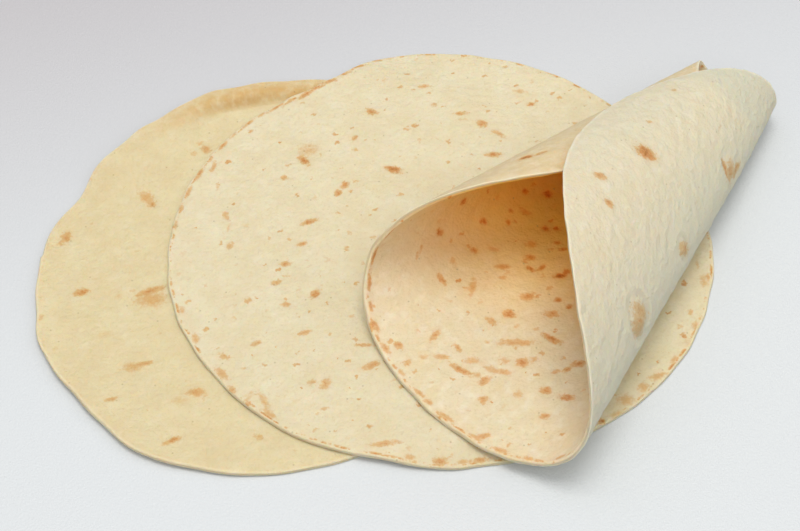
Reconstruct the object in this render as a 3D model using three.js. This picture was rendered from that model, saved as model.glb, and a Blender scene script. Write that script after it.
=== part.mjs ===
// Three soft wheat tortillas in a loose stack. One lies flat with its back edge curled up, one is draped
// over it, and one lies on both, rolled into an open cone. Millimetres, +Z up, standing on z = 0.
// Every tortilla is a round-edged disc with an uneven outline, laid on a curved surface.
import * as THREE from 'three';
import { mergeVertices } from 'three/addons/utils/BufferGeometryUtils.js';

const { degToRad, smoothstep } = THREE.MathUtils;

// Driving dimensions: millimetres, and degrees counterclockwise from +X
const THICKNESS = 2.2;
const GAP = 0.35; // air between two tortillas where they touch
const HALF = THICKNESS / 2;
const STACK_MIDDLE = [-7.9, -1.9]; // plan position of the stack's middle, from the draped tortilla's centre

// lobes: [number round the rim, size, angle of a crest]; bumps: [angle, size, spread]
const FLAT = {
  name: 'flat_tortilla',
  color: 0xe5d4a6,
  centre: [-65.6, -10.2],
  radius: 117,
  lobes: [[2, 4.2, 25], [3, 2.2, 4], [4, 0.6, -7]],
  bumps: [[160, -5.4, 5.8], [135.5, -4, 8.5], [204, 1.6, 6]],
  rings: [0, 5, 8.5, 16, 30, 47, 66, 88],
  segments: 64,
};
const LIP = { height: 5, middle: 121, halfSpan: 42, shoulder: 0.6, rise: 3.5, top: 5 };
const DRAPED = {
  name: 'draped_tortilla',
  color: 0xe9dcb8,
  centre: [0, 0],
  radius: 125,
  lobes: [[2, 1.8, 56], [3, 1.2, -33], [4, 1, -8]],
  bumps: [[117.3, -6, 7], [101, 1.5, 7.6], [-103, -2, 6.7]],
  rings: [0, 8, 17, 27, 38, 52, 68, 88],
  segments: 64,
};
// The drape climbs the lip `early`, and falls to the table from `start` outside the lower outline
const DRAPE = { early: 4, start: 5, length: 24 };
// A side of the cone: the flat disc is bent along straight lines through an apex, which lies `apex` from
// the disc's centre at `bearing`. Past `start` the folds turn it: [angle at the apex, turn, spread].
const ROLLED = {
  name: 'rolled_tortilla',
  color: 0xe6dab6,
  centre: [81.4, -9.5],
  radius: 125,
  lobes: [[2, 0.9, 48], [3, 1.9, 25.5], [4, 0.7, 58]],
  bumps: [],
  flap: { turn: 1, apex: 219, bearing: 53.7, start: 2, folds: [[7, 126.4, 3.6], [24.9, 91.6, 7.9]] },
  wrap: { turn: -1, apex: 204.4, bearing: 56.4, start: 7.8, folds: [[8.1, 121.3, 4.1], [22.3, 83.5, 6.1]] },
  rings: [0, 7, 15, 23, 32, 41, 50, 60, 70, 80, 91, 102, 113],
  segments: 88,
};
const FOLD_STEPS = 360;
const WIDEST_FOLD = degToRad(36);
const SLOPE_STEP = 0.01; // mm, for the slope of a surface

/** Angle in (-pi, pi]. */
function turnWithin(angle) {
  return Math.atan2(Math.sin(angle), Math.cos(angle));
}

function bell(offset, spread) {
  return Math.exp(-0.5 * (offset / spread) ** 2);
}

/** Radius of a tortilla's outline in the given direction from its centre. */
function rimRadius(tortilla, angle) {
  let radius = tortilla.radius;
  for (const [count, size, crest] of tortilla.lobes) {
    radius += size * Math.cos(count * (angle - degToRad(crest)));
  }
  for (const [at, size, spread] of tortilla.bumps) {
    radius += size * bell(turnWithin(angle - degToRad(at)), degToRad(spread));
  }
  return radius;
}

/** How far a point lies outside a tortilla's outline; less than zero inside it. */
function outside(tortilla, x, y) {
  return Math.hypot(x, y) - rimRadius(tortilla, Math.atan2(y, x));
}

/** Height of the flat tortilla's curled back edge, in its own frame, or of what rises early over it. */
function lipHeight(x, y, early = 0) {
  const away = Math.abs(turnWithin(Math.atan2(y, x) - degToRad(LIP.middle)));
  const along = smoothstep(1 - away / degToRad(LIP.halfSpan), 0, LIP.shoulder);
  const top = -LIP.top - early;
  return LIP.height * along * smoothstep(outside(FLAT, x, y), top - LIP.rise, top);
}

/** Middle surface of the flat tortilla. */
function flatSurface(x, y) {
  return new THREE.Vector3(x, y, HALF + lipHeight(x, y));
}

/** Middle surface of the draped tortilla: it follows what it lies on, then falls to the table. */
function drapedSurface(x, y) {
  const [lowerX, lowerY] = [x - FLAT.centre[0], y - FLAT.centre[1]];
  const past = outside(FLAT, lowerX, lowerY);
  const support = THICKNESS + GAP + lipHeight(lowerX, lowerY, DRAPE.early);
  const carried = 1 - smoothstep(past, DRAPE.start, DRAPE.start + DRAPE.length);
  return new THREE.Vector3(x, y, HALF + support * carried);
}

/** Directions of the bent disc's straight lines, and its normals, at even steps of the apex angle. */
function rulingsOf(side) {
  const ahead = degToRad(side.bearing + 180 + side.turn * side.start);
  const ruling = new THREE.Vector3(Math.cos(ahead), Math.sin(ahead), 0);
  const normal = new THREE.Vector3(0, 0, 1);
  const steps = [[ruling.clone(), normal.clone()]];
  const stepAngle = WIDEST_FOLD / FOLD_STEPS;
  for (let step = 0; step < FOLD_STEPS; step += 1) {
    const at = (step + 0.5) * stepAngle;
    let bend = 0;
    for (const [middle, turn, spread] of side.folds) {
      const share = bell(at - degToRad(middle), degToRad(spread)) / (degToRad(spread) * Math.sqrt(2 * Math.PI));
      bend += degToRad(turn) * share;
    }
    ruling.applyAxisAngle(normal, side.turn * stepAngle);
    normal.applyAxisAngle(ruling, side.turn * bend * stepAngle);
    steps.push([ruling.clone(), normal.clone()]);
  }
  return steps;
}

/** Surface of one side of the cone at a point of the flat disc, or null where that side doesn't reach. */
function sideSurface(side, rulings, x, y) {
  const bearing = degToRad(side.bearing);
  const apex = new THREE.Vector3(side.apex * Math.cos(bearing), side.apex * Math.sin(bearing), 0);
  const [alongX, alongY] = [x - apex.x, y - apex.y];
  const swept = turnWithin(Math.atan2(alongY, alongX) - bearing - Math.PI);
  const angle = side.turn * swept - degToRad(side.start);
  if (angle <= 0) {
    return null;
  }
  const place = (angle / WIDEST_FOLD) * FOLD_STEPS;
  const step = Math.min(Math.floor(place), FOLD_STEPS - 1);
  const direction = rulings[step][0].clone().lerp(rulings[step + 1][0], place - step).normalize();
  return apex.addScaledVector(direction, Math.hypot(alongX, alongY));
}

const FLAP_RULINGS = rulingsOf(ROLLED.flap);
const WRAP_RULINGS = rulingsOf(ROLLED.wrap);

/** Middle surface of the rolled tortilla, in its own frame: the flap, the wrap, or the strip it lies on. */
function rolledSurface(x, y) {
  return sideSurface(ROLLED.flap, FLAP_RULINGS, x, y)
    ?? sideSurface(ROLLED.wrap, WRAP_RULINGS, x, y)
    ?? new THREE.Vector3(x, y, 0);
}

/** The point `height` above a surface, measured square to it. */
function above(surface, x, y, height) {
  const alongX = surface(x + SLOPE_STEP, y).sub(surface(x - SLOPE_STEP, y));
  const alongY = surface(x, y + SLOPE_STEP).sub(surface(x, y - SLOPE_STEP));
  const normal = alongX.cross(alongY).normalize();
  return surface(x, y).addScaledVector(normal, height);
}

/** Section of a plain disc from the middle of its underside, round the rim, to the middle of its top. */
function discProfile(tortilla) {
  const lower = tortilla.rings.map((inset) => new THREE.Vector2(tortilla.radius - HALF - inset, -HALF));
  lower.push(new THREE.Vector2(0, -HALF));
  const upper = lower.map((point) => new THREE.Vector2(point.x, HALF));
  const rim = [-30, 30].map((slant) => new THREE.Vector2(
    tortilla.radius - HALF + HALF * Math.cos(degToRad(slant)),
    HALF * Math.sin(degToRad(slant)),
  ));
  return [...lower.reverse(), ...rim, ...upper];
}

/** Index without the triangles that shrink to a line on the axis. */
function withoutSlivers(index) {
  const kept = [];
  for (let corner = 0; corner < index.length; corner += 3) {
    const [a, b, c] = index.slice(corner, corner + 3);
    if (a !== b && b !== c && c !== a) {
      kept.push(a, b, c);
    }
  }
  return kept;
}

/** One tortilla: a lathed disc, stretched to its outline and laid on its surface. */
function makeTortilla(tortilla, surface, roughness) {
  const lathe = new THREE.LatheGeometry(discProfile(tortilla), tortilla.segments);
  lathe.rotateX(Math.PI / 2);
  lathe.deleteAttribute('normal');
  lathe.deleteAttribute('uv');
  const geometry = mergeVertices(lathe);
  geometry.setIndex(withoutSlivers(Array.from(geometry.index.array)));
  const position = geometry.attributes.position;
  for (let corner = 0; corner < position.count; corner += 1) {
    const [x, y, height] = [position.getX(corner), position.getY(corner), position.getZ(corner)];
    const stretch = rimRadius(tortilla, Math.atan2(y, x)) / tortilla.radius;
    const laid = above(surface, x * stretch, y * stretch, height);
    position.setXYZ(corner, laid.x, laid.y, laid.z);
  }
  const material = new THREE.MeshStandardMaterial({ color: tortilla.color, roughness, metalness: 0 });
  const mesh = new THREE.Mesh(geometry, material);
  mesh.name = tortilla.name;
  return mesh;
}

const stack = new THREE.Group();
stack.position.set(-STACK_MIDDLE[0], -STACK_MIDDLE[1], 0);

const flat = makeTortilla(FLAT, flatSurface, 0.62);
flat.position.set(...FLAT.centre, 0);
stack.add(flat);

const draped = makeTortilla(DRAPED, drapedSurface, 0.72);
stack.add(draped);

const rolled = makeTortilla(ROLLED, rolledSurface, 0.7);
rolled.position.set(...ROLLED.centre, 2 * (THICKNESS + GAP) + HALF);
stack.add(rolled);

export default stack;
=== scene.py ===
"""Three soft wheat tortillas in a loose stack: one flat, one draped over it, one rolled into an open cone."""
import math

import bmesh
import bpy
import numpy as np
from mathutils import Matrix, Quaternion, Vector


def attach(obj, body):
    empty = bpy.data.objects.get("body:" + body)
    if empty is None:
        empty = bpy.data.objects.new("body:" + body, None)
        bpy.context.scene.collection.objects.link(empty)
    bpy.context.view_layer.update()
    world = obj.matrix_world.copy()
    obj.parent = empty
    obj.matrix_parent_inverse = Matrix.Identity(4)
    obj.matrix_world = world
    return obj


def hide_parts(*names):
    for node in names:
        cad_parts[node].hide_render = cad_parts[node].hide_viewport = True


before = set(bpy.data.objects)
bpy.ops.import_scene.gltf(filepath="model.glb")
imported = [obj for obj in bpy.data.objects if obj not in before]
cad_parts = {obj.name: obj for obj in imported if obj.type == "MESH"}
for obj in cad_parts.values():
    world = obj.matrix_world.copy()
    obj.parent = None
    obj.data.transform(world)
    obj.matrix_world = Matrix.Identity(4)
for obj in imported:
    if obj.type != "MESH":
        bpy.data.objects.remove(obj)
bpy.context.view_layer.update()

# ---------------------------------------------------------------------------------------------------
# The camera, a short telephoto held above the front of the table.
# It looks down at about 50 degrees, so that it sees into the cone's wide mouth.
# It aims at a point on the table a little left of and in front of the stack's middle.
AIM = Vector((-0.011, -0.0104, 0))
CAMERA_DISTANCE = 0.815
LOOKING_DOWN = math.radians(49.6)

camera = bpy.data.objects.new("camera", bpy.data.cameras.new("camera"))
camera.data.lens = 80
camera.data.sensor_width = 36
camera.location = AIM + CAMERA_DISTANCE * Vector((0, -math.cos(LOOKING_DOWN), math.sin(LOOKING_DOWN)))
camera.rotation_euler = (math.radians(90) - LOOKING_DOWN, 0, 0)
bpy.context.collection.objects.link(camera)
bpy.context.scene.camera = camera
bpy.context.scene.view_settings.view_transform = "Standard"


# ---------------------------------------------------------------------------------------------------
# Soft daylight in a pale room. Most of it comes from the ceiling, brightest straight overhead, and from
# a skylight above the stack; a window at the front and a pale wall at the right fill the shadows.
CEILING_LIGHT = 0.98
CEILING_COLOUR = "F8F9FF"
DAYLIGHT = "FFFEFA"
LAMP_SIZE = 1.6


def linear(hex_colour):
    """Linear RGBA of an sRGB colour written as hex digits."""
    parts = [int(hex_colour[start:start + 2], 16) / 255 for start in (0, 2, 4)]
    return [part / 12.92 if part <= 0.04045 else ((part + 0.055) / 1.055) ** 2.4 for part in parts] + [1]


def add_node(tree, kind, inputs=(), **settings):
    """Adds a node, sets it up, and feeds its inputs with values or with other nodes' outputs."""
    node = tree.nodes.new(kind)
    for name, value in settings.items():
        setattr(node, name, value)
    for socket, value in dict(inputs).items():
        if isinstance(value, bpy.types.NodeSocket):
            tree.links.new(value, node.inputs[socket])
        else:
            node.inputs[socket].default_value = value
    return node


world = bpy.data.worlds.new("room")
world.use_nodes = True
room = world.node_tree
facing = add_node(room, "ShaderNodeSeparateXYZ", {
    "Vector": add_node(room, "ShaderNodeTexCoord").outputs["Generated"],
}).outputs["Z"]
ceiling = add_node(room, "ShaderNodeMapRange", {"Value": facing, "To Max": CEILING_LIGHT}).outputs["Result"]
room.nodes["Background"].inputs["Color"].default_value = linear(CEILING_COLOUR)
room.links.new(ceiling, room.nodes["Background"].inputs["Strength"])
bpy.context.scene.world = world


def soft_box(name, place, power):
    """A square lamp that faces the middle of the stack."""
    lamp = bpy.data.objects.new(name, bpy.data.lights.new(name, "AREA"))
    lamp.data.size = LAMP_SIZE
    lamp.data.energy = power
    lamp.data.color = linear(DAYLIGHT)[:3]
    lamp.location = place
    lamp.rotation_euler = (-Vector(place)).to_track_quat("-Z", "Y").to_euler()
    bpy.context.collection.objects.link(lamp)


soft_box("skylight", (0, 0, 3.2), 44)
soft_box("window", (0, -1.9, 2.2), 15)
soft_box("side_wall", (2.2, 0, 1.3), 6)

# ---------------------------------------------------------------------------------------------------
# The table: a pale laminate top with a fine orange-peel grain, far larger than the stack. Its colour is painted a
# little greyer, warmer and darker towards the back left, and coolest at the front right, as painted shade across the
# top.
TABLE_NEAR = "D5D8D8"
TABLE_FAR = "B9B4B5"
TABLE_REACH = 3
# A hair below the tortillas' undersides, so that the two faces don't fight
TABLE_TOP = -0.0002


def new_material(name):
    """An empty material, with its node tree and its output node."""
    material = bpy.data.materials.new(name)
    material.use_nodes = True
    tree = material.node_tree
    tree.nodes.clear()
    return material, tree, add_node(tree, "ShaderNodeOutputMaterial")


def pale_laminate():
    """Pressed laminate: matt, near white, with a grain of about 1 mm that breaks the light up."""
    material, tree, output = new_material("pale_laminate")
    place = add_node(tree, "ShaderNodeTexCoord").outputs["Object"]
    turned = add_node(tree, "ShaderNodeMapping", {"Vector": place, "Rotation": (0, 0, math.radians(-20))})
    across = add_node(tree, "ShaderNodeSeparateXYZ", {"Vector": turned.outputs["Vector"]})
    share = add_node(tree, "ShaderNodeMapRange", {
        "Value": across.outputs["Y"], "From Min": -0.05, "From Max": 0.36,
    }, interpolation_type="SMOOTHSTEP").outputs["Result"]
    # painted shade: the colour darkens towards the back left
    tone = add_node(tree, "ShaderNodeMix", {0: share, 6: linear(TABLE_NEAR), 7: linear(TABLE_FAR)}, data_type="RGBA")
    grain = add_node(tree, "ShaderNodeTexNoise", {"Vector": place, "Scale": 1000, "Detail": 2})
    bump = add_node(tree, "ShaderNodeBump", {"Height": grain.outputs["Fac"], "Strength": 0.7, "Distance": 0.0004})
    shader = add_node(tree, "ShaderNodeBsdfPrincipled", {
        "Base Color": tone.outputs[2], "Roughness": 0.5, "Normal": bump.outputs["Normal"],
    })
    tree.links.new(shader.outputs["BSDF"], output.inputs["Surface"])
    return material


table_mesh = bpy.data.meshes.new("table")
table_shape = bmesh.new()
bmesh.ops.create_grid(table_shape, x_segments=1, y_segments=1, size=TABLE_REACH)
bmesh.ops.translate(table_shape, vec=(0, 0, TABLE_TOP), verts=table_shape.verts)
table_shape.to_mesh(table_mesh)
table_shape.free()
table = bpy.data.objects.new("table", table_mesh)
table.data.materials.append(pale_laminate())
bpy.context.collection.objects.link(table)

# ---------------------------------------------------------------------------------------------------
# The flat tortilla: the lowest one, of golden dough, lying on the table. It was rolled out by hand, so
# its outline is uneven, with a notch at the back left, and its back edge has dried and curled up.
# Sizes are millimetres and degrees; a disc is spun, stretched to its outline and laid on a surface.
MM = 0.001
THICKNESS = 2.2
HALF = THICKNESS / 2

# The plain disc: its cut rim has a tight corner below, and slopes inwards to its upper face
DISC_RADIUS = 125
RIM_SLOPE = 1.2
RIM_CORNER = 0.2
RING_PITCH = 1.55
SPIN_STEPS = 480
SLOPE_STEP = 0.01

# A cut rim strays from its outline by about RAGGED
RAGGED = 0.3
RAGGED_WIDTH = 12
# Patterns on the two faces are read this far apart, in metres, so that they differ
FACES_APART = 0.2

# Centres are measured from the draped tortilla's; the frame's origin is the middle of the stack
STACK_MIDDLE = (-7.9, -1.9)

# lobes: (number round the rim, size, angle of a crest); bumps: (angle, size, spread)
FLAT_CENTRE = (-65.6, -10.2)
FLAT_OUTLINE = {
    "radius": 117,
    "lobes": [(2, 4.2, 25), (3, 2.2, 4), (4, 0.6, -7)],
    "bumps": [
        (160, -5.4, 5.8), (135.5, -4, 8.5), (204, 1.6, 6), (83, 5, 6.5), (240, 2.7, 7.5), (256, 0.9, 8),
        (134.5, 1.7, 3.2), (115, 1.3, 4.5), (209, 0.9, 10), (255, 0.8, 25),
    ],
    "ragged": 11,
}

# The curled back edge: its height, its slope's width, which grows towards its left end, and its span
LIP_HEIGHT = 5
LIP_RISE = 6
LIP_FADING_RISE = 30
LIP_TOP = 6
LIP_MIDDLE = 121
LIP_HALF_SPAN = 42

# The front left rim, which stands a little off the table
LIFT = 2.4
LIFT_MIDDLE = 214
LIFT_HALF_SPAN = 62
LIFT_WIDTH = 32

# Toasted marks: (x, y, length, width, slant, depth of browning), from the tortilla's centre
FLAT_MARKS = [
    (-97, -20, 7, 4.4, 20, 0.62), (-66, -19, 15, 4, 24, 0.5), (-65, -24, 15, 9, 10, 0.32),
    (-108, 13, 8, 4.6, 80, 0.5), (-110, 9, 3, 3, 0, 0.36), (-73, 38, 10, 6.5, -50, 0.36), (-70, 34, 5, 4, 60, 0.45),
    (-47, 70, 6, 5, -30, 0.4), (-53, 67, 4, 3, 0, 0.3), (-50, 74, 5, 3, 0, 0.26), (-101, 56, 4, 2.5, 50, 0.2),
    (-65, -60, 9, 3, 10, 0.42), (-70, -62, 10, 6, 10, 0.28), (-49, -101, 7, 3, 32, 0.5),
    (-52, -103, 4, 2.5, 0, 0.45), (-41, -76, 9, 5, -4, 0.42), (-77, -80, 6, 2.4, 24, 0.38),
    (-113, -36, 4, 2.5, 70, 0.3), (-48, -80, 10, 5, 0, 0.16), (-13, -99, 5, 3.4, -20, 0.3),
    (-30, -60, 5, 3, 0, 0.16), (-84, -44, 8, 5, 30, 0.14), (-80, -22, 5, 4, 0, 0.16),
]
FLAT_BLISTERS = [
    (-41, -75, 12, 0.6), (-66, -22, 15, 0.5), (-73, 37, 8, 0.35), (-97, -20, 6, 0.2), (-98, -84, 9, 0.3),
]


def turn_within(angle):
    """Angle brought to between minus pi and pi."""
    return np.arctan2(np.sin(angle), np.cos(angle))


def bell(offset, spread):
    """1 where the offset is 0, falling off smoothly over about `spread` to both sides."""
    return np.exp(-0.5 * (offset / spread) ** 2)


def smooth_rise(value, low, high):
    """0 below low, 1 above high, and a smooth step between."""
    share = np.clip((value - low) / (high - low), 0, 1)
    return share * share * (3 - 2 * share)


def swell(x, y, size, seed):
    """A smooth, uneven field of about -1 to 1, whose swells are about `size` apart."""
    chance = np.random.default_rng(seed)
    total = 0
    for _ in range(10):
        heading, phase = chance.uniform(0, math.tau, 2)
        pitch = size * chance.uniform(0.7, 1.6)
        total = total + np.sin((x * math.cos(heading) + y * math.sin(heading)) * math.tau / pitch + phase)
    return total / 4


def rim_radius(outline, angle):
    """Radius of an outline in the given direction, without its raggedness."""
    radius = outline["radius"] + 0 * angle
    for count, size, crest in outline["lobes"]:
        radius = radius + size * np.cos(count * (angle - math.radians(crest)))
    for at, size, spread in outline["bumps"]:
        radius = radius + size * bell(turn_within(angle - math.radians(at)), math.radians(spread))
    return radius


def outside(outline, x, y):
    """How far points lie outside an outline; less than zero inside it."""
    return np.hypot(x, y) - rim_radius(outline, np.arctan2(y, x))


def lip_height(x, y, early=0):
    """Height of the curled back edge at points of the flat tortilla, or of what rises early over it."""
    bearing = np.degrees(turn_within(np.arctan2(y, x)))
    along = smooth_rise(1 - np.abs(bearing - LIP_MIDDLE) / LIP_HALF_SPAN, 0, 0.6)
    top = -LIP_TOP - early
    width = LIP_RISE + LIP_FADING_RISE * smooth_rise(bearing, 112, 142)
    return LIP_HEIGHT * along * smooth_rise(outside(FLAT_OUTLINE, x, y), top - width, top)


def flat_surface(x, y):
    """Middle surface of the flat tortilla: flat but for its curled back edge and its lifted front left rim."""
    away = np.abs(turn_within(np.arctan2(y, x) - math.radians(LIFT_MIDDLE)))
    lift = LIFT * smooth_rise(1 - away / math.radians(LIFT_HALF_SPAN), 0, 0.7)
    lift = lift * np.clip(1 + outside(FLAT_OUTLINE, x, y) / LIFT_WIDTH, 0, 1) ** 2
    return np.stack([x, y, HALF + lip_height(x, y) + lift], axis=-1)


def flat_relief(x, y, upper):
    """Slight hollows of the dough on its upper face, and a soft groove that follows the rim."""
    inset = -outside(FLAT_OUTLINE, x, y)
    groove = 0.25 * bell(inset - 6.5, 1.6) * (0.5 + 0.5 * swell(x, y, 60, 5))
    hollows = 0.1 * (1 + swell(x, y, 12, 1)) + 0.16 * (1 + swell(x, y, 34, 2))
    return -np.where(upper, np.clip(groove, 0, None) + np.clip(hollows, 0, None), 0)


def disc_section(radius):
    """Half section of a disc, from the middle of its underside, round its cut rim, to the middle of its top."""
    insets = [0, 0.5, 1.1, 1.8, 2.6, 3.6, 4.8, 6.2]
    insets += list(np.arange(8, radius - 3, RING_PITCH))
    inner = radius - RIM_SLOPE
    lower = [(0, -HALF)] + [(inner - inset, -HALF) for inset in reversed(insets)]
    rim = [(radius - RIM_CORNER, -HALF), (radius - 0.05, -0.93 * HALF), (radius, -0.8 * HALF), (radius, -0.5 * HALF)]
    for slant in (18, 36, 54, 72):
        out, up = math.cos(math.radians(slant)), math.sin(math.radians(slant))
        rim.append((inner + RIM_SLOPE * out, HALF * (1.5 * up - 0.5)))
    upper = [(x, -height) for x, height in reversed(lower)]
    return lower + rim + upper


def spun_disc(name, radius):
    """A plain disc with a cut, rounded rim, as a mesh in millimetres."""
    shape = bmesh.new()
    points = [shape.verts.new((x, 0, height)) for x, height in disc_section(radius)]
    edges = [shape.edges.new(pair) for pair in zip(points, points[1:])]
    bmesh.ops.spin(
        shape, geom=points + edges, axis=(0, 0, 1), cent=(0, 0, 0), angle=math.tau, steps=SPIN_STEPS, use_merge=True,
    )
    bmesh.ops.remove_doubles(shape, verts=shape.verts, dist=1e-4)
    bmesh.ops.recalc_face_normals(shape, faces=shape.faces)
    for face in shape.faces:
        face.smooth = True
    mesh = bpy.data.meshes.new(name)
    shape.to_mesh(mesh)
    shape.free()
    return mesh


def above(surface, x, y, height):
    """Points at a height above a surface, measured square to it."""
    along_x = surface(x + SLOPE_STEP, y) - surface(x - SLOPE_STEP, y)
    along_y = surface(x, y + SLOPE_STEP) - surface(x, y - SLOPE_STEP)
    normal = np.cross(along_x, along_y)
    normal /= np.linalg.norm(normal, axis=-1, keepdims=True)
    return surface(x, y) + normal * height[:, None]


def mark_fields(x, y, marks):
    """For each point, how near it is to a toasted mark (1 at its heart, 0.5 at its edge) and the mark's depth."""
    near = np.zeros_like(x)
    depth = np.zeros_like(x)
    for at_x, at_y, length, width, slant, browning in marks:
        lean = math.radians(slant)
        along = ((x - at_x) * math.cos(lean) + (y - at_y) * math.sin(lean)) / (length / 2)
        across = ((y - at_y) * math.cos(lean) - (x - at_x) * math.sin(lean)) / (width / 2)
        here = np.exp2(-np.hypot(along, across) ** 1.4)
        depth = np.where(here > near, browning, depth)
        near = np.maximum(near, here)
    return near, depth


def blister_height(x, y, blisters):
    """Low domes where steam lifted the skin, each with shallow rings pulled in round it."""
    height = np.zeros_like(x)
    for at_x, at_y, width, rise in blisters:
        away = np.hypot(x - at_x, y - at_y) / (width / 2)
        away = away * (1 + 0.12 * np.sin(2 * np.arctan2(y - at_y, x - at_x) + at_x))
        height += rise * (bell(away, 0.5) - 0.45 * bell(away - 1.2, 0.18) + 0.4 * bell(away - 1.65, 0.16))
    return height


# A slice of every tortilla is the same, so one plain disc is spun and each tortilla is made from a copy
plain_disc = spun_disc("plain_disc", DISC_RADIUS)


def make_tortilla(name, centre, base_height, outline, surface, relief, faces, shading, sway=None):
    """Gives a copy of the disc its outline, relief and marks, and lays it on its surface in the frame.

    faces: (marks, blisters, browning of the rim) of the upper face, then of the lower one.
    shading: gives the painted warm glow, the drying, and the flour with painted shade, from 0 to 1, for points of a
    face.
    sway: gives how far both faces are moved together, up from the surface.
    """
    mesh = plain_disc.copy()
    mesh.name = name
    count = len(mesh.vertices)
    plain = np.empty(count * 3)
    mesh.vertices.foreach_get("co", plain)
    x, y, height = plain.reshape(-1, 3).T
    angle = np.arctan2(y, x)
    out = np.hypot(x, y)
    round_rim = angle * 40
    uneven = RAGGED * swell(round_rim, out * 0, 5, outline["ragged"]) + RAGGED * swell(round_rim, out * 0, 17, 3)
    uneven = uneven * smooth_rise(out, DISC_RADIUS - RAGGED_WIDTH, DISC_RADIUS)
    radius = rim_radius(outline, angle)
    new_out = out * radius / DISC_RADIUS + uneven
    x, y = new_out * np.cos(angle), new_out * np.sin(angle)
    inset = np.clip(radius + uneven - new_out, 0, None)
    upper = height > 0
    side = np.sign(height) * (np.abs(height) > 0.4)  # 0 on the cut rim
    near, depth, raised, browning = np.zeros((4, count))
    for is_upper, (marks, blisters, rim_browning) in zip((True, False), faces):
        here = upper == is_upper
        face_near, face_depth = mark_fields(x, y, marks)
        near, depth = np.where(here, face_near, near), np.where(here, face_depth, depth)
        raised = np.where(here, blister_height(x, y, blisters), raised)
        browning = np.where(here, rim_browning, browning)
    thinning = 0.9 + 0.1 * smooth_rise(inset, 0, 5)
    laid_height = height * thinning + np.clip(height / HALF, -1, 1) * (relief(x, y, upper) + raised)
    if sway:
        laid_height += sway(x, y)
    place = np.array([centre[0] - STACK_MIDDLE[0], centre[1] - STACK_MIDDLE[1], base_height])
    laid = above(surface, x, y, laid_height) + place
    mesh.vertices.foreach_set("co", (laid * MM).ravel())
    painted_glow, drying, flour_and_shade = shading(x, y, upper)
    for title, parts in (
        ("dough", (x * MM + side * FACES_APART, y * MM, 0 * x)),
        ("toasting", (near, depth, browning)),
        ("inset_glow_drying", (inset, painted_glow, drying)),
    ):
        attribute = mesh.attributes.new(title, "FLOAT_VECTOR", "POINT")
        attribute.data.foreach_set("vector", np.stack(parts, axis=-1).ravel())
    mesh.attributes.new("flour_and_shade", "FLOAT", "POINT").data.foreach_set("value", flour_and_shade)
    mesh.update()
    piece = bpy.data.objects.new(name, mesh)
    bpy.context.collection.objects.link(piece)
    return piece


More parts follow.
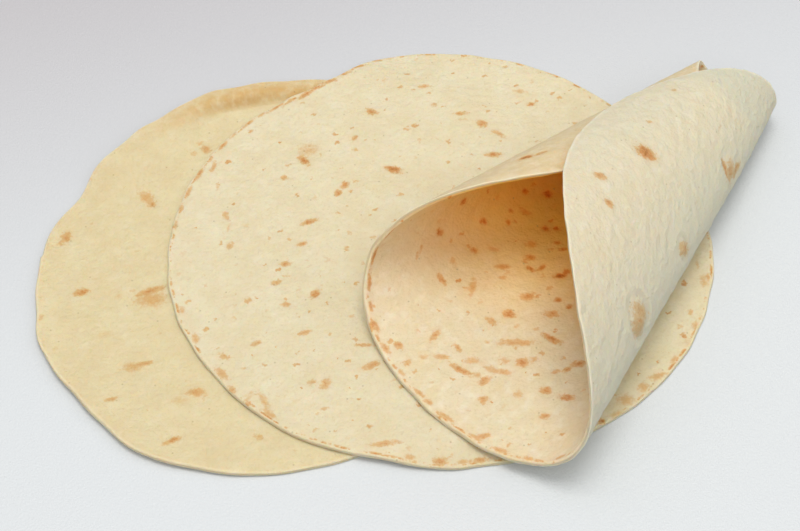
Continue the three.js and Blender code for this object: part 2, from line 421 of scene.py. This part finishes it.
def griddled_dough(
    name, crumb, cloud, dried, flecks, fleck_depth, rim_width, rim_depth, flour, ripple=(4.4, 0, 1),
):
    """Wheat dough baked on a griddle: a matt, faintly clouded crumb that light enters a little, dusted
    with flour, with brown flecks where bubbles touched the plate, and a broken brown line at the rim.

    crumb, cloud, dried: colours. flecks: the share of cells that have one. fleck_depth and rim_depth: how
    brown they get. rim_width: of the browned line, in millimetres. flour: how thickly the patches of it lie.
    ripple: the size of the skin's small ripples, the way they run, and how drawn out they are.
    """
    material, tree, output = new_material(name)
    dough = add_node(tree, "ShaderNodeAttribute", attribute_name="dough").outputs["Vector"]
    toasting = add_node(tree, "ShaderNodeAttribute", attribute_name="toasting").outputs["Vector"]
    near, depth, browning = add_node(tree, "ShaderNodeSeparateXYZ", {"Vector": toasting}).outputs
    inset_glow_drying = add_node(tree, "ShaderNodeAttribute", attribute_name="inset_glow_drying").outputs["Vector"]
    inset, painted_glow, drying = add_node(tree, "ShaderNodeSeparateXYZ", {"Vector": inset_glow_drying}).outputs
    flour_and_shade = add_node(tree, "ShaderNodeAttribute", attribute_name="flour_and_shade").outputs["Fac"]

    # Uneven fields: grain in millimetres, detail, roughness, sideways shift, turn and stretch
    ripple_size, turn, stretch = ripple
    field = {}
    for title, size, detail, roughness, shift, turn_by, stretch_by in (
        ("clouds", 18, 2, 0.5, 0.01, 0, 1),
        ("crumb", 1.6, 2, 0.6, 0.03, 0, 1),
        ("pores", 2.6, 3, 0.7, 0.11, 0, 1),
        ("flour", 6, 3, 0.6, 0.05, turn, stretch),
        ("streaks", 5, 3, 0.6, 0.02, 0, 1),
        ("torn", 2.2, 3, 0.65, 0, 0, 1),
        ("mottle", 1.1, 2, 0.7, 0.09, 0, 1),
        ("breaks", 6, 3, 0.65, 0.07, 0, 1),
        ("skin", 1, 2, 0.6, 0.06, 0, 1),
        ("ripples", ripple_size, 2, 0.55, 0.08, turn, stretch),
        ("puckers", 3.6, 2, 0.5, 0.13, turn, 1.25),
    ):
        place = add_node(tree, "ShaderNodeMapping", {
            "Vector": dough, "Location": (shift, shift, 0), "Rotation": (0, 0, math.radians(turn_by)),
            "Scale": (stretch_by, 1, 1),
        }, vector_type="TEXTURE").outputs["Vector"]
        field[title] = add_node(tree, "ShaderNodeTexNoise", {
            "Vector": place, "Scale": 1 / (size * MM), "Detail": detail, "Roughness": roughness,
        }).outputs["Fac"]

    # Flecks of 1 to 3 mm, one to a cell of 9 mm, in some of the cells only, of uneven shape and tone
    warp = add_node(tree, "ShaderNodeTexNoise", {
        "Vector": dough, "Scale": 1 / (2.2 * MM), "Detail": 2,
    }).outputs["Color"]
    drawn_out = add_node(tree, "ShaderNodeMapping", {
        "Vector": dough, "Rotation": (0, 0, math.radians(30)), "Scale": (1.25, 1, 1),
    }, vector_type="TEXTURE").outputs["Vector"]
    torn_place = add_node(tree, "ShaderNodeVectorMath", {
        0: warp, 1: (0.0045, 0.0045, 0), 2: drawn_out,
    }, operation="MULTIPLY_ADD").outputs["Vector"]
    cells = add_node(tree, "ShaderNodeTexVoronoi", {
        "Vector": torn_place, "Scale": 1 / (9 * MM), "Randomness": 1,
    }, voronoi_dimensions="2D")
    chance, size, tone = add_node(tree, "ShaderNodeSeparateXYZ", {"Vector": cells.outputs["Color"]}).outputs
    chosen = add_node(tree, "ShaderNodeMath", {0: chance, 1: flecks}, operation="LESS_THAN").outputs["Value"]
    reach = add_node(tree, "ShaderNodeMapRange", {0: size, 3: 0.04, 4: 0.15}).outputs["Result"]
    away = add_node(tree, "ShaderNodeMath", {
        0: cells.outputs["Distance"], 1: reach,
    }, operation="DIVIDE").outputs["Value"]
    fleck_tone = add_node(tree, "ShaderNodeMapRange", {0: tone, 3: 0.08, 4: fleck_depth}).outputs["Result"]

    # Bran specks, 0.4 mm across and 22 mm apart: too fine to show as they are, so drawn twice as large
    bran_place = add_node(tree, "ShaderNodeMapping", {
        "Vector": dough, "Location": (0.03, 0.03, 0),
    }, vector_type="TEXTURE").outputs["Vector"]
    bran = add_node(tree, "ShaderNodeTexVoronoi", {
        "Vector": bran_place, "Scale": 1 / (22 * MM), "Randomness": 1,
    }, voronoi_dimensions="2D").outputs["Distance"]

    # Each field made a soft step: what steps, from where, to where, and how far
    torn = add_node(tree, "ShaderNodeMath", {
        0: field["torn"], 1: 0.9, 2: near,
    }, operation="MULTIPLY_ADD").outputs["Value"]
    step = {}
    for title, value, low, high, most in (
        ("clouds", field["clouds"], 0.32, 0.68, 1),
        ("crumb", field["crumb"], 0.5, 0.85, 0.4),
        ("pores", field["pores"], 0.58, 0.72, 0.4),
        ("flour", field["flour"], 0.45, 0.75, flour),
        ("streaks", field["streaks"], 0.15, 0.65, 1),
        ("cut", inset, 1.8, 0.3, 1),
        ("unbaked", browning, 1, 0, 0.4),
        ("halo", near, 0.1, 0.55, 0.16),
        ("scorch", torn, 0.77, 1.13, 0.55),
        ("heart", torn, 1.03, 1.45, 0.45),
        ("fleck", away, 1.4, 0.4, 1),
        ("line_out", inset, 0.6, 1.3, 1),
        ("line_in", inset, rim_width + 1.5, rim_width, 1),
        ("breaks", field["breaks"], 0.46, 0.66, rim_depth),
        ("bran", bran, 0.026, 0.01, 0.4),
        ("puckers", field["puckers"], 0.5, 0.68, 1),
    ):
        step[title] = add_node(tree, "ShaderNodeMapRange", {
            0: value, 1: low, 2: high, 4: most,
        }, interpolation_type="SMOOTHSTEP").outputs["Result"]
    mottle = add_node(tree, "ShaderNodeMapRange", {
        0: field["mottle"], 1: 0.3, 2: 0.7, 3: 0.72, 4: 1.2,
    }).outputs["Result"]

    # Browning: each placed mark has a faint halo, a ragged light scorch and a browner heart; to these
    # come the flecks and the line just inside the rim, which is broken every few millimetres
    amount = {}
    for title, operation, first, second in (
        ("mark", "ADD", step["scorch"], step["heart"]),
        ("mark", "MAXIMUM", "mark", step["halo"]),
        ("mark", "MULTIPLY", "mark", depth),
        ("fleck", "MULTIPLY", step["fleck"], chosen),
        ("fleck", "MULTIPLY", "fleck", fleck_tone),
        ("line", "MULTIPLY", step["line_out"], step["line_in"]),
        ("line", "MULTIPLY", "line", step["breaks"]),
        ("baked", "MAXIMUM", "fleck", "line"),
        ("baked", "MULTIPLY", "baked", browning),
        ("toast", "MAXIMUM", "mark", "baked"),
        ("toast", "MULTIPLY", "toast", mottle),
        ("dry", "MULTIPLY", step["streaks"], drying),
        ("pale_cut_and_highlight", "MULTIPLY", step["cut"], step["unbaked"]),
        ("puckers", "MULTIPLY", step["puckers"], flour_and_shade),
    ):
        parts = [amount[part] if isinstance(part, str) else part for part in (first, second)]
        amount[title] = add_node(tree, "ShaderNodeMath", dict(enumerate(parts)), operation=operation).outputs["Value"]
    for title, low, high in (("tan", 0, 0.3), ("orange", 0.25, 0.62), ("brown", 0.6, 0.95)):
        amount[title] = add_node(tree, "ShaderNodeMapRange", {
            0: amount["toast"], 1: low, 2: high,
        }, interpolation_type="SMOOTHSTEP").outputs["Result"]

    # The layers of colour, from the crumb up
    colour = linear(crumb)
    for share, layer, kind in (
        (step["clouds"], cloud, "MIX"),
        (step["crumb"], "CBB583", "MIX"),
        (step["pores"], "CDB98C", "MIX"),
        (step["flour"], "F1EAD6", "MIX"),
        # painted shade, partly flour: the flap's outside is greyer and darker, most on its right side and towards the
        # small end
        (flour_and_shade, "CBC8B0", "MIX"),
        (amount["dry"], dried, "MIX"),
        # the cut rim is painted paler where it is unbrowned: partly the paler crumb of the cut, partly a painted
        # highlight where the rim catches the light
        (amount["pale_cut_and_highlight"], "F1E6CE", "MIX"),
        # painted glow: deep inside the roll the dough's colour is painted orange, standing in for light that comes
        # through other dough
        (painted_glow, "FFC75D", "MIX"),  # deep inside the roll, light comes through other dough, which turns it orange
        (step["bran"], "9A8258", "MIX"),
        (amount["tan"], "F4D8B9", "MULTIPLY"),
        (amount["orange"], "EFCBA8", "MULTIPLY"),
        (amount["brown"], "D3CABB", "MULTIPLY"),
    ):
        colour = add_node(tree, "ShaderNodeMix", {
            0: share, 6: colour, 7: linear(layer),
        }, data_type="RGBA", blend_type=kind).outputs[2]

    # Relief too fine for the mesh: the skin's small ripples, the crumb, puckers where it was floured, and
    # toasted spots a little sunk
    relief = field["ripples"]
    for part, height in ((field["skin"], 0.22), (amount["puckers"], 0.24), (amount["toast"], -0.25)):
        relief = add_node(tree, "ShaderNodeMath", {
            0: part, 1: height, 2: relief,
        }, operation="MULTIPLY_ADD").outputs["Value"]
    bump = add_node(tree, "ShaderNodeBump", {"Height": relief, "Strength": 0.7, "Distance": 0.0016})
    shader = add_node(tree, "ShaderNodeBsdfPrincipled", {
        "Base Color": colour, "Roughness": 0.62, "IOR": 1.4, "Specular IOR Level": 0.3,
        "Subsurface Weight": 0.6, "Subsurface Radius": (1, 0.6, 0.3), "Subsurface Scale": 0.003,
        "Normal": bump.outputs["Normal"],
    })
    tree.links.new(shader.outputs["BSDF"], output.inputs["Surface"])
    return material


def flat_shading(x, y, upper):
    """No glow; dried on the curled back edge, most of all on its slope."""
    bearing = np.degrees(turn_within(np.arctan2(y, x)))
    along = smooth_rise(bearing, 60, 85) * (1 - 0.9 * smooth_rise(bearing, 108, 142))
    past = outside(FLAT_OUTLINE, x, y)
    drying = smooth_rise(past, -LIP_TOP - LIP_RISE - 2, -LIP_TOP - 2) * (1 - 0.45 * smooth_rise(past, -6, -2))
    return 0 * x, along * drying, 0 * x


flat_tortilla = make_tortilla(
    "golden_tortilla", FLAT_CENTRE, 0, FLAT_OUTLINE, flat_surface, flat_relief,
    [(FLAT_MARKS, FLAT_BLISTERS, 0.4), ([], [], 0)], flat_shading,
)
flat_tortilla.data.materials.append(griddled_dough(
    "golden_griddled_dough", crumb="DACBA2", cloud="D7C69C", dried="CDAA70", flecks=0.3, fleck_depth=0.4,
    rim_width=1.2, rim_depth=0.3, flour=0.12,
))
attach(flat_tortilla, "root")
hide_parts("flat_tortilla")

# ---------------------------------------------------------------------------------------------------
# The draped tortilla: the middle one, paler and rounder. It lies on the flat one, is lifted a little
# by its curled edge, and sinks to the table past its outline. It has the most flecks.
DRAPED_OUTLINE = {
    "radius": 125,
    "lobes": [(2, 1.8, 56), (3, 1.2, -33), (4, 1, -8)],
    "bumps": [(120.5, -6, 6.8), (101, 1.5, 7.6), (-103, -2, 6.7), (119, 1.4, 2.5), (131, -1.4, 5.5)],
    "ragged": 12,
}

# It lies GAP above the flat one. It rises DRAPE_EARLY before that one's curled edge does. It starts to
# sink DRAPE_START past that one's outline, and reaches the table DRAPE_LENGTH further on
GAP = 0.35
DRAPE_EARLY = 4
DRAPE_START = 5
DRAPE_LENGTH = 24

DRAPED_MARKS = [
    (-22, 44, 9, 4, -22, 0.85), (-33, 83, 6.5, 4, -30, 0.6), (-65, 50, 7.5, 4, -50, 0.72),
    (-63, 57, 13, 9, 0, 0.22), (-41, 65, 5, 2.5, 40, 0.5), (-45, 34, 5, 3.4, 50, 0.68),
    (-48, 29, 4.6, 3.4, 60, 0.66), (-61, 10.5, 9, 3, 25, 0.6), (-64, -3, 5, 3, 20, 0.5), (-97, -4, 4, 2.5, 80, 0.5),
    (-100, 15, 4, 2.5, 80, 0.45), (-71, -15, 6, 3, 10, 0.5), (-75, -26, 5, 3, 30, 0.5), (-57, -33, 6, 4, 60, 0.6),
    (-70, -39, 5, 3, 10, 0.45), (-87, -37, 4, 3, 70, 0.45), (-61, -55, 6, 3, 20, 0.5), (-82, -61, 5, 3, 40, 0.45),
    (-96, -68, 5, 3, -40, 0.45), (-35, -62, 8, 1.8, 0, 0.6), (-51, -83, 7, 4.5, 80, 0.42),
    (-31, -73, 11, 3.5, 22, 0.5), (-57, -82, 5, 3, 30, 0.35), (-51, -96, 4, 2, 10, 0.35),
    (-25, -114, 13, 3, 8, 0.45), (-91, -86, 5, 3, -50, 0.4), (-108, 45, 6, 2.5, 60, 0.45), (-7, 101, 6, 3, 10, 0.5),
    (46, 91, 5, 2.5, 5, 0.7), (11, 82, 7, 2.5, 8, 0.6), (21, 75, 6, 4, -40, 0.6), (29, 68, 10, 3, -38, 0.35),
    (26, 54, 8, 3.2, 0, 0.65), (-2, 88, 3.5, 3, 0, 0.4), (-108, 46, 7, 2, 80, 0.4), (-105, 33, 5, 2, 80, 0.3),
    (-100, 14, 6, 2.6, -60, 0.42), (-98, 7, 7, 2, 80, 0.25), (-97, -4, 5, 3, 70, 0.45), (-74, 38, 8, 2, 0, 0.25),
    (-77, -92, 14, 3, -62, 0.3), (-84, -90, 9, 3, 60, 0.22), (-90, -96, 6, 4, 0, 0.2),
    (119, -23, 8.5, 4.5, 84, 0.26), (121, -21, 6, 1.8, 84, 0.4), (117, -14, 5, 2.4, 84, 0.26),
    (112, -49, 6, 3.4, 70, 0.28), (108, -58, 7, 4.5, 84, 0.14), (101, -68, 6, 3, 65, 0.3),
    (93, -77, 9, 4, 20, 0.36), (86, -83, 7, 4.5, 50, 0.34), (78, -90, 9, 7, 0, 0.28), (74, -97, 8, 4.5, 20, 0.22),
    (67, -101, 2.8, 2.8, 0, 0.85), (41, 100, 9, 3, -8, 0.28),
]


def rim_marks(outline, inset, *marks):
    """Marks that follow a rim, `inset` inside it: (bearing, length, width, depth of browning)."""
    placed = []
    for bearing, length, width, browning in marks:
        turn = math.radians(bearing)
        out = float(rim_radius(outline, turn)) - inset
        placed.append((out * math.cos(turn), out * math.sin(turn), length, width, bearing + 90, browning))
    return placed


DRAPED_MARKS += rim_marks(
    DRAPED_OUTLINE, 1.6,
    (104, 7, 2, 0.4), (109, 9, 2.2, 0.55), (113, 7, 2, 0.5), (117.5, 9, 2.2, 0.55), (121, 8, 2, 0.6),
    (125, 9, 2.2, 0.55), (129.5, 6, 2, 0.4), (133, 9, 2, 0.5), (137, 5, 2, 0.35), (141, 8, 2.2, 0.5),
    (146, 5, 2, 0.3), (150, 8, 2.2, 0.5), (155, 5, 2, 0.4), (160, 9, 2.4, 0.5), (166, 8, 2.4, 0.45),
    (171, 6, 2.4, 0.4), (176, 6, 2, 0.35),
)
DRAPED_MARKS += rim_marks(
    DRAPED_OUTLINE, 3,
    (-97, 5, 3, 0.35), (-91, 6, 4.4, 0.48), (-86.5, 5, 2.6, 0.34), (-83, 7, 3, 0.48), (-78, 5, 2.6, 0.34),
    (-127, 8, 3, 0.36), (-141, 9, 4, 0.4), (-152, 6, 4, 0.34), (-160, 5, 3, 0.3),
)


def draped_surface(x, y):
    """Middle surface of the draped tortilla: it follows what it lies on, then falls to the table."""
    lower_x, lower_y = x - FLAT_CENTRE[0], y - FLAT_CENTRE[1]
    past = outside(FLAT_OUTLINE, lower_x, lower_y)
    support = THICKNESS + GAP + lip_height(lower_x, lower_y, DRAPE_EARLY)
    carried = 1 - smooth_rise(past, DRAPE_START, DRAPE_START + DRAPE_LENGTH)
    return np.stack([x, y, HALF + support * carried], axis=-1)


def draped_relief(x, y, upper):
    """Shallow hollows of the upper face."""
    hollows = 0.1 * (1 + swell(x, y, 11, 21)) + 0.14 * (1 + swell(x, y, 40, 22))
    return -np.where(upper, np.clip(hollows, 0, None), 0)


def plain_shading(x, y, upper):
    """No painted glow, no drying, and no flour or painted shade."""
    return 0 * x, 0 * x, 0 * x


draped_tortilla = make_tortilla(
    "pale_tortilla", (0, 0), 0, DRAPED_OUTLINE, draped_surface, draped_relief,
    [(DRAPED_MARKS, [], 0.9), ([], [], 0)], plain_shading,
)
draped_tortilla.data.materials.append(griddled_dough(
    "pale_griddled_dough", crumb="DED2B1", cloud="DBCDA9", dried="D8BE8E", flecks=0.8, fleck_depth=0.5,
    rim_width=1.2, rim_depth=0.65, flour=0.15,
))
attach(draped_tortilla, "root")
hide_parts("draped_tortilla")

# ---------------------------------------------------------------------------------------------------
# The rolled tortilla: a round one, lying on the other two and rolled into an open cone by folding its
# left side over and its right side over that. Dough bends but doesn't stretch, so each side bends
# only along straight lines through an apex, `apex` away from the disc's centre at `bearing`.
ROLLED_CENTRE = (81.4, -9.5)
ROLLED_OUTLINE = {
    "radius": 125,
    "lobes": [(2, 0.9, 48), (3, 1.9, 25.5), (4, 0.7, 58)],
    "bumps": [(70, 3, 6.5), (20, 1, 9), (152, 0.8, 12), (45, -5.5, 3.6)],
    "ragged": 13,
}
# Past `start` the folds turn a side: (angle at the apex, how far it turns, spread)
FLAP = {"turn": 1, "apex": 219, "bearing": 53.7, "start": 2, "folds": [(7, 126.4, 3.6), (24.9, 91.6, 7.9)]}
WRAP = {"turn": -1, "apex": 204.4, "bearing": 56.4, "start": 7.8, "folds": [(8.1, 121.3, 4.1), (22.3, 83.5, 6.1)]}
FOLD_STEPS = 720
WIDEST_FOLD = math.radians(36)

# Pinches near the small end, across each side's sharpest bend: (side, reach from the apex, size, spread)
PINCHES = [(FLAP, 96, 1.6, 22), (WRAP, 90, 2, 20)]
PINCH_ANGLE = 8
PINCH_SPREAD = 4

# The crease across the strip at the mouth, from which the wrap rises
CREASE_AT = -12
CREASE_WIDTH = 4.5

# Ripples run this way on the dough, along the flap. Relief is carved no deeper than DEEPEST, so that the
# dough stays whole
RIPPLE_BEARING = 40
DEEPEST = 0.7

INNER_MARKS = [
    (-64, 13, 3.5, 3, 0, 0.8), (-87, 3, 4.5, 3.5, 0, 0.8), (-81, 20, 4, 4, 0, 0.8), (-32, 33, 5, 4, 0, 0.8),
    (-67, -2, 4, 3, 0, 0.6), (-50, 21, 3, 2.5, 0, 0.6), (-41, -11, 5, 2.4, -45, 0.75), (-36, -10, 5, 2.4, 50, 0.7),
    (-28, -15, 5.5, 3.5, 0, 0.95), (-82, -19, 6.5, 2.8, -62, 0.6), (-43, -27, 8, 4.5, 15, 0.55),
    (-52, -37, 6, 4.5, -10, 0.7), (-60, -41, 6, 3.5, -45, 0.5), (-34, -51, 10, 3.2, -35, 0.75),
    (-49, -53, 17, 4, 0, 0.42), (-85, -49, 8, 3, 60, 0.5), (-75, -56, 5, 3, -60, 0.45),
    (-101, -55, 5, 3.5, -50, 0.55), (-74, -68, 12, 3, -36, 0.6), (-64, -74, 7, 3.5, 40, 0.5),
    (-47, -64, 6, 5, 10, 0.6), (-33, -69, 5, 2.5, 10, 0.5), (-28, -68, 4, 2.5, 30, 0.6), (-38, -79, 5, 4.5, 0, 0.6),
    (-29, -84, 7, 3.5, -20, 0.75), (-65, -84, 4.5, 4, 60, 0.5), (-39, -93, 5, 3.5, 0, 0.5),
    (-66, -103, 8, 3, 22, 0.5), (-23, -65, 7, 3.5, 0, 0.6), (-82, -61, 7, 3, -15, 0.4), (-56, -69, 8, 3, -10, 0.4),
    (-113, -46, 6, 3, 70, 0.6), (-97, -64, 4, 3, 60, 0.5), (-30, -29, 4, 3, 0, 0.6), (-25, -33, 3.5, 3, 0, 0.6),
    (-42, -62, 3, 3, 0, 0.4), (-44, 32, 3.5, 3, 0, 0.7), (-43, 22, 7, 3, -20, 0.35), (-51, 15, 3, 3, 0, 0.55),
    (-58, 0, 7, 3, -10, 0.3), (-40, 4, 5, 4, 90, 0.4), (-41, -4, 5, 3.5, 0, 0.55), (-54, -9.5, 7, 3.5, 0, 0.45),
    (-95, -8, 8, 2, 80, 0.35), (-77, -9, 5, 3, -60, 0.25), (-68, -22, 12, 3.5, 80, 0.38),
    (-54, -16, 4, 2.4, 0, 0.4), (-33, -37, 7, 4, 0, 0.5), (-49, -44, 3, 3, 0, 0.25), (-62, -53, 3, 2.4, 0, 0.25),
    (-69, -63, 7, 4, 0, 0.35), (-55, -63, 5, 4, 0, 0.3), (-54, -70, 4, 3, 0, 0.3), (-50, -81, 4.5, 4, 0, 0.3),
    (-90, -61, 4, 3, 0, 0.28), (-33, 13.5, 4, 3.4, 0, 0.75), (-28, 13.5, 3, 3, 0, 0.75), (-28, 5, 4, 2.4, 0, 0.6),
    (-26, 1, 4, 2.4, 0, 0.6), (-25, -12.5, 3.4, 3.4, 0, 0.8), (-67, -71, 5, 3, 0, 0.3),
    (-60, -68, 9, 3.4, -30, 0.35), (-78, -30, 3, 2.4, 0, 0.2),
]
INNER_MARKS += rim_marks(
    ROLLED_OUTLINE, 2.6,
    (-173, 9, 2, 0.66), (-167, 8, 2.2, 0.58), (-162, 6, 2, 0.55), (-157, 4, 3, 0.45), (-152, 7, 3.4, 0.44),
    (-145, 5, 2.4, 0.36), (-139, 7, 2.4, 0.44), (-136, 4, 3, 0.46), (-131, 9, 2.4, 0.4), (-123.5, 8, 2.4, 0.34),
    (-118, 7, 3, 0.4), (-112, 5, 2.6, 0.42), (-105, 6, 2.6, 0.42), (170, 8, 2, 0.6), (163, 9, 2, 0.5),
    (156, 8, 1.8, 0.4),
)
INNER_BLISTERS = [
    (-101, -37, 5, 0.4), (-97, -43, 4, 0.35), (-104, -30, 4, 0.3), (-93, -51, 5, 0.3), (-99, -24, 4, 0.25),
    (-90, -40, 4, 0.25), (-106, -42, 4, 0.3),
]
OUTER_MARKS = [
    (-89, 59.5, 7, 4.4, 55, 0.9), (-86, 65, 9, 2, 50, 0.6), (88, -30.5, 10.5, 7.5, 150, 0.85),
    (86, -64, 6.5, 5, 121, 0.5), (73, -71, 5, 4.5, 0, 0.55), (102, -13, 4, 2, 131, 0.5), (114, 19, 3, 3, 0, 0.4),
    (68, 17, 11, 3, 170, 0.62), (66, 27, 12, 4.5, 58, 0.5), (66.5, 21, 12, 7.5, 20, 0.42),
    (42.5, -33, 7, 9.5, 16, 0.5), (26, -79.5, 10, 14, 25, 0.4), (21, -82, 12, 11, 25, 0.38),
    (23, -82, 4, 6, 0, 0.55), (92, 38, 7, 4, 45, 0.12), (88, 26, 7, 1.4, 45, 0.2), (86, 23, 6, 1.2, 45, 0.18),
]
OUTER_BLISTERS = [(24, -80, 14, 1.5), (43, -34, 8, 0.7), (69, 23, 11, 0.5), (88, -30, 7, 0.3)]


def bent_side(side):
    """Directions of a side's straight lines, and the angles at the apex where they lie."""
    ahead = math.radians(side["bearing"] + 180 + side["turn"] * side["start"])
    line = Vector((math.cos(ahead), math.sin(ahead), 0))
    normal = Vector((0, 0, 1))
    lines = [line.copy()]
    step_angle = WIDEST_FOLD / FOLD_STEPS
    for step in range(FOLD_STEPS):
        at = (step + 0.5) * step_angle
        bend = 0
        for middle, turn, spread in side["folds"]:
            share = bell(at - math.radians(middle), math.radians(spread)) / (math.radians(spread) * math.sqrt(math.tau))
            bend += math.radians(turn) * share
        line.rotate(Quaternion(normal, side["turn"] * step_angle))
        normal.rotate(Quaternion(line, side["turn"] * bend * step_angle))
        lines.append(line.copy())
    return np.linspace(0, WIDEST_FOLD, FOLD_STEPS + 1), np.array(lines)


def apex_view(side, x, y):
    """A side's apex, the distance from it, and the angle past the line where its bend starts, in radians."""
    bearing = math.radians(side["bearing"])
    apex = side["apex"] * np.array([math.cos(bearing), math.sin(bearing)])
    swept = turn_within(np.arctan2(y - apex[1], x - apex[0]) - bearing - math.pi)
    return apex, np.hypot(x - apex[0], y - apex[1]), side["turn"] * swept - math.radians(side["start"])


def bend_over(side, bent, x, y):
    """Where points of the flat disc lie on a bent side, and which of them are on it."""
    angles, lines = bent
    apex, reach, angle = apex_view(side, x, y)
    direction = np.stack([np.interp(angle, angles, lines[:, axis]) for axis in range(3)], axis=-1)
    direction /= np.linalg.norm(direction, axis=-1, keepdims=True)
    return np.append(apex, 0) + direction * reach[..., None], angle > 0


flap_bent = bent_side(FLAP)
wrap_bent = bent_side(WRAP)


def rolled_surface(x, y):
    """Middle surface of the rolled tortilla: the strip that it lies on, the wrap and the flap."""
    flap_points, on_flap = bend_over(FLAP, flap_bent, x, y)
    wrap_points, on_wrap = bend_over(WRAP, wrap_bent, x, y)
    strip = np.stack([x, y, 0 * x], axis=-1)
    wrapped = np.where(on_wrap[..., None], wrap_points, strip)
    return np.where(on_flap[..., None], flap_points, wrapped)


def rolled_relief(x, y, upper):
    """Shallow hollows on both faces, ripples on the flap's outside, and a bead round the inner rim."""
    hollows = 0.1 * (1 + swell(x, y, 10, 31)) + 0.12 * (1 + swell(x, y, 30, 32))
    lean = math.radians(RIPPLE_BEARING)
    along, across = x * math.cos(lean) + y * math.sin(lean), y * math.cos(lean) - x * math.sin(lean)
    ripples = 0.28 * (1 + swell(along / 1.3, across, 7.5, 33)) * smooth_rise(x - 0.4 * y, -10, 30)
    carved = np.clip(hollows, 0, None) + np.where(upper, 0, np.clip(ripples, 0, None))
    carved = -DEEPEST * np.tanh(carved / DEEPEST)
    bead = 0.45 * bell(outside(ROLLED_OUTLINE, x, y) + 0.8, 1.4)
    return carved + np.where(upper, bead, 0)


def rolled_sway(x, y):
    """Near the small end both bends are pinched in, and at the mouth the wrap rises from a crease."""
    sway = -bell(y - CREASE_AT, CREASE_WIDTH) * (1 - smooth_rise(x, -112, -80))
    for side, at, size, spread in PINCHES:
        _, reach, angle = apex_view(side, x, y)
        along = bell(reach - at, spread) * smooth_rise(angle, 0, math.radians(3))
        sway = sway + size * along * bell(np.degrees(angle) - PINCH_ANGLE, PINCH_SPREAD)
    return sway


def rolled_shading(x, y, upper):
    """The inside is painted with a warm glow, more and more from the mouth inwards; the wrap is dry outside; the flap's
    outside is floured and painted greyer and darker as painted shade, most on its right side and towards the small end.
    """
    inwards = 0.45 * x + 0.95 * y
    # painted glow: the inner face is painted warmer and more orange from the mouth inwards
    painted_glow = smooth_rise(inwards, -78, 12) * (1 - smooth_rise(inwards, 70, 105))
    _, _, wrapped = apex_view(WRAP, x, y)
    _, reach, flapped = apex_view(FLAP, x, y)
    wrap = smooth_rise(np.degrees(wrapped), 0, 10)
    # painted shade with flour: strongest low on the flap's right side and near the small end
    flap = np.maximum(1 - 0.55 * smooth_rise(np.degrees(flapped), 8, 22), 0.9 - 0.9 * smooth_rise(reach, 125, 165))
    flap = flap * smooth_rise(np.degrees(flapped), 0, 3)
    return np.where(upper, painted_glow, 0), np.where(upper, 0, wrap), np.where(upper, 0, flap)


rolled_tortilla = make_tortilla(
    "rolled_tortilla_cone", ROLLED_CENTRE, 2 * (THICKNESS + GAP) + HALF, ROLLED_OUTLINE, rolled_surface,
    rolled_relief, [(INNER_MARKS, INNER_BLISTERS, 1), (OUTER_MARKS, OUTER_BLISTERS, 0)], rolled_shading, rolled_sway,
)
rolled_tortilla.data.materials.append(griddled_dough(
    "cream_griddled_dough", crumb="E4D5B4", cloud="E2D1AC", dried="DBC597", flecks=0.7, fleck_depth=0.5,
    rim_width=1.6, rim_depth=0.5, flour=0.4, ripple=(5.5, RIPPLE_BEARING, 1.15),
))
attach(rolled_tortilla, "root")
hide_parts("rolled_tortilla")

# ---------------------------------------------------------------------------------------------------
# The finished stack. The plain disc has served, and is removed.
bpy.data.meshes.remove(plain_disc)
